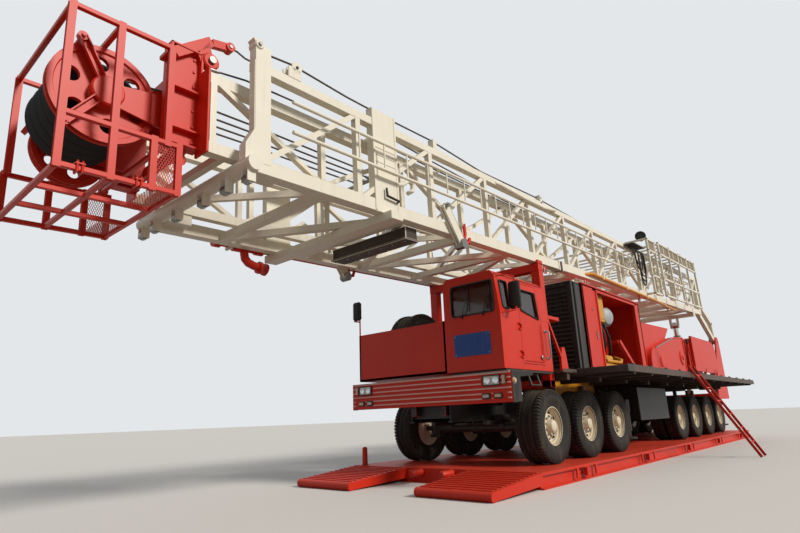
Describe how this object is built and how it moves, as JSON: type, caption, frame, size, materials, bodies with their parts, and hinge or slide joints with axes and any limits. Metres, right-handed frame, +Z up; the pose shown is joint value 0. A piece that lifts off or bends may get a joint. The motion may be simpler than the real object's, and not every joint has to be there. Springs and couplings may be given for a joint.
{
  "type": "workover rig",
  "caption": "Truck-mounted workover rig with a telescoping lattice mast lying over its offset cab, parked on a steel base frame with drive-on ramps.",
  "frame": {"origin": "on the ground under the middle of the base frame, on the vehicle's centreline", "axes": "+X forward to the cab and crown, +Y the vehicle's left, +Z up"},
  "size_m": [20.9843, 5.7698, 5.8548],
  "materials": {
    "red_paint": "gloss red paint",
    "white_paint": "gloss white paint",
    "black_paint": "satin black paint",
    "frame_grey": "satin dark grey paint",
    "deck_brown": "worn dark anti-slip deck paint",
    "engine_yellow": "yellow engine paint",
    "tyre": "dusty black tyre rubber",
    "steel": "bare steel",
    "rod_chrome": "hard chrome",
    "glass": "tinted glass",
    "cab_trim": "dark seat cloth and trim"
  },
  "bodies": {
    "carrier": {"base_frame": "red_paint", "chassis_frame": "black_paint", "axles": "frame_grey", "front_bumper": "red_paint", "front_body": "red_paint", "cab_shell": "red_paint", "cab_glass": "glass", "cab_interior": "cab_trim", "spare_wheel": "tyre", "mast_rest": "red_paint", "radiator": "black_paint", "engine_housing": "red_paint", "engine": "engine_yellow", "drawworks": "red_paint", "mast_support": "red_paint", "tanks": "frame_grey", "deck": "deck_brown"},
    "knuckle_1_left": {"knuckle_1_left": "frame_grey"},
    "knuckle_1_right": {"knuckle_1_right": "frame_grey"},
    "knuckle_2_left": {"knuckle_2_left": "frame_grey"},
    "knuckle_2_right": {"knuckle_2_right": "frame_grey"},
    "knuckle_3_left": {"knuckle_3_left": "frame_grey"},
    "knuckle_3_right": {"knuckle_3_right": "frame_grey"},
    "wheel_1_left": {"wheel_1_left": "tyre"},
    "wheel_1_right": {"wheel_1_right": "tyre"},
    "wheel_2_left": {"wheel_2_left": "tyre"},
    "wheel_2_right": {"wheel_2_right": "tyre"},
    "wheel_3_left": {"wheel_3_left": "tyre"},
    "wheel_3_right": {"wheel_3_right": "tyre"},
    "wheel_4_left": {"wheel_4_left": "tyre"},
    "wheel_4_right": {"wheel_4_right": "tyre"},
    "wheel_5_left": {"wheel_5_left": "tyre"},
    "wheel_5_right": {"wheel_5_right": "tyre"},
    "wheel_6_left": {"wheel_6_left": "tyre"},
    "wheel_6_right": {"wheel_6_right": "tyre"},
    "wheel_7_left": {"wheel_7_left": "tyre"},
    "wheel_7_right": {"wheel_7_right": "tyre"},
    "cab_door": {"cab_door": "red_paint", "door_glass": "glass"},
    "walkway_left": {"walkway_left": "deck_brown"},
    "walkway_right": {"walkway_right": "deck_brown"},
    "ladder": {"ladder": "red_paint"},
    "mast_lower": {"mast_lower_sides": "white_paint", "mast_lower_floor": "white_paint", "mast_fittings": "white_paint"},
    "mast_upper": {"mast_upper_sides": "white_paint", "mast_upper_floor": "white_paint", "crown_frame": "red_paint", "crown_cage": "red_paint"},
    "crown_sheaves": {"crown_sheaves": "red_paint"},
    "racking_board": {"racking_board": "white_paint"},
    "raising_barrels": {"raising_barrels": "white_paint"},
    "raising_stages": {"raising_stages": "steel"},
    "raising_rods": {"raising_rods": "rod_chrome"}
  },
  "joints": [
    {"name": "steer_1_left", "type": "hinge", "parent": "carrier", "child": "knuckle_1_left", "pos_m": [5.77, 0.93, 0.7853], "axis": [0, 0, 1], "range_deg": [-28, 28]},
    {"name": "steer_1_right", "type": "hinge", "parent": "carrier", "child": "knuckle_1_right", "pos_m": [5.77, -0.93, 0.7853], "axis": [0, 0, 1], "range_deg": [-28, 28]},
    {"name": "steer_2_left", "type": "hinge", "parent": "carrier", "child": "knuckle_2_left", "pos_m": [4.405, 0.93, 0.7853], "axis": [0, 0, 1], "range_deg": [-23.8, 23.8]},
    {"name": "steer_2_right", "type": "hinge", "parent": "carrier", "child": "knuckle_2_right", "pos_m": [4.405, -0.93, 0.7853], "axis": [0, 0, 1], "range_deg": [-23.8, 23.8]},
    {"name": "steer_3_left", "type": "hinge", "parent": "carrier", "child": "knuckle_3_left", "pos_m": [3.04, 0.93, 0.7853], "axis": [0, 0, 1], "range_deg": [-19.6, 19.6]},
    {"name": "steer_3_right", "type": "hinge", "parent": "carrier", "child": "knuckle_3_right", "pos_m": [3.04, -0.93, 0.7853], "axis": [0, 0, 1], "range_deg": [-19.6, 19.6]},
    {"name": "roll_1_left", "type": "hinge", "parent": "knuckle_1_left", "child": "wheel_1_left", "pos_m": [5.77, 1.26, 0.7853], "axis": [0, 1, 0], "continuous": true},
    {"name": "roll_1_right", "type": "hinge", "parent": "knuckle_1_right", "child": "wheel_1_right", "pos_m": [5.77, -1.26, 0.7853], "axis": [0, 1, 0], "continuous": true},
    {"name": "roll_2_left", "type": "hinge", "parent": "knuckle_2_left", "child": "wheel_2_left", "pos_m": [4.405, 1.26, 0.7853], "axis": [0, 1, 0], "continuous": true},
    {"name": "roll_2_right", "type": "hinge", "parent": "knuckle_2_right", "child": "wheel_2_right", "pos_m": [4.405, -1.26, 0.7853], "axis": [0, 1, 0], "continuous": true},
    {"name": "roll_3_left", "type": "hinge", "parent": "knuckle_3_left", "child": "wheel_3_left", "pos_m": [3.04, 1.26, 0.7853], "axis": [0, 1, 0], "continuous": true},
    {"name": "roll_3_right", "type": "hinge", "parent": "knuckle_3_right", "child": "wheel_3_right", "pos_m": [3.04, -1.26, 0.7853], "axis": [0, 1, 0], "continuous": true},
    {"name": "roll_4_left", "type": "hinge", "parent": "carrier", "child": "wheel_4_left", "pos_m": [-1.38, 1.078, 0.7603], "axis": [0, 1, 0], "continuous": true},
    {"name": "roll_4_right", "type": "hinge", "parent": "carrier", "child": "wheel_4_right", "pos_m": [-1.38, -1.078, 0.7603], "axis": [0, 1, 0], "continuous": true},
    {"name": "roll_5_left", "type": "hinge", "parent": "carrier", "child": "wheel_5_left", "pos_m": [-2.745, 1.078, 0.7603], "axis": [0, 1, 0], "continuous": true},
    {"name": "roll_5_right", "type": "hinge", "parent": "carrier", "child": "wheel_5_right", "pos_m": [-2.745, -1.078, 0.7603], "axis": [0, 1, 0], "continuous": true},
    {"name": "roll_6_left", "type": "hinge", "parent": "carrier", "child": "wheel_6_left", "pos_m": [-4.11, 1.078, 0.7603], "axis": [0, 1, 0], "continuous": true},
    {"name": "roll_6_right", "type": "hinge", "parent": "carrier", "child": "wheel_6_right", "pos_m": [-4.11, -1.078, 0.7603], "axis": [0, 1, 0], "continuous": true},
    {"name": "roll_7_left", "type": "hinge", "parent": "carrier", "child": "wheel_7_left", "pos_m": [-5.475, 1.078, 0.7603], "axis": [0, 1, 0], "continuous": true},
    {"name": "roll_7_right", "type": "hinge", "parent": "carrier", "child": "wheel_7_right", "pos_m": [-5.475, -1.078, 0.7603], "axis": [0, 1, 0], "continuous": true},
    {"name": "door_hinge", "type": "hinge", "parent": "carrier", "child": "cab_door", "pos_m": [6.6, 1.488, 2], "axis": [0, 0, -1], "range_deg": [0, 75]},
    {"name": "walkway_left_fold", "type": "hinge", "parent": "carrier", "child": "walkway_left", "pos_m": [0, 1.474, 1.67], "axis": [1, 0, 0], "range_deg": [0, 82]},
    {"name": "walkway_right_fold", "type": "hinge", "parent": "carrier", "child": "walkway_right", "pos_m": [0, -1.474, 1.67], "axis": [-1, 0, 0], "range_deg": [0, 82]},
    {"name": "ladder_swing", "type": "hinge", "parent": "walkway_left", "child": "ladder", "pos_m": [0.92, 2.404, 1.74], "axis": [1, 0, 0], "range_deg": [0, 60]},
    {"name": "mast_raise", "type": "hinge", "parent": "carrier", "child": "mast_lower", "pos_m": [-7.88, 0, 3.2], "axis": [0, -1, 0], "range_deg": [0, 94]},
    {"name": "mast_extend", "type": "slide", "parent": "mast_lower", "child": "mast_upper", "axis": [0.9995, 0, -0.0314], "range_m": [0, 13]},
    {"name": "sheaves_turn", "type": "hinge", "parent": "mast_upper", "child": "crown_sheaves", "pos_m": [12.3965, 0, 4.04352], "axis": [0, 1, 0], "continuous": true},
    {"name": "board_fold", "type": "hinge", "parent": "mast_upper", "child": "racking_board", "pos_m": [-1.50898, 0, 5.36095], "axis": [0, 1, 0], "range_deg": [0, 90]},
    {"name": "cylinder_swing", "type": "hinge", "parent": "carrier", "child": "raising_barrels", "pos_m": [-5.78, 0, 1.45], "axis": [0, -1, 0], "range_deg": [0, 42.93]},
    {"name": "stage_slide", "type": "slide", "parent": "raising_barrels", "child": "raising_stages", "axis": [0.1829, 0, 0.9831], "range_m": [0, 1.4027]},
    {"name": "rod_slide", "type": "slide", "parent": "raising_stages", "child": "raising_rods", "axis": [0.1829, 0, 0.9831], "range_m": [0, 1.4027]}
  ],
  "couplings": [
    {"joint": "steer_1_right", "follows": "steer_1_left", "ratio": 1},
    {"joint": "steer_2_left", "follows": "steer_1_left", "ratio": 0.85},
    {"joint": "steer_2_right", "follows": "steer_1_left", "ratio": 0.85},
    {"joint": "steer_3_left", "follows": "steer_1_left", "ratio": 0.7},
    {"joint": "steer_3_right", "follows": "steer_1_left", "ratio": 0.7},
    {"joint": "cylinder_swing", "follows": "mast_raise", "ratio": 0.45658},
    {"joint": "stage_slide", "follows": "mast_raise", "m_per_rad": 0.85495},
    {"joint": "rod_slide", "follows": "mast_raise", "m_per_rad": 0.85495}
  ]
}
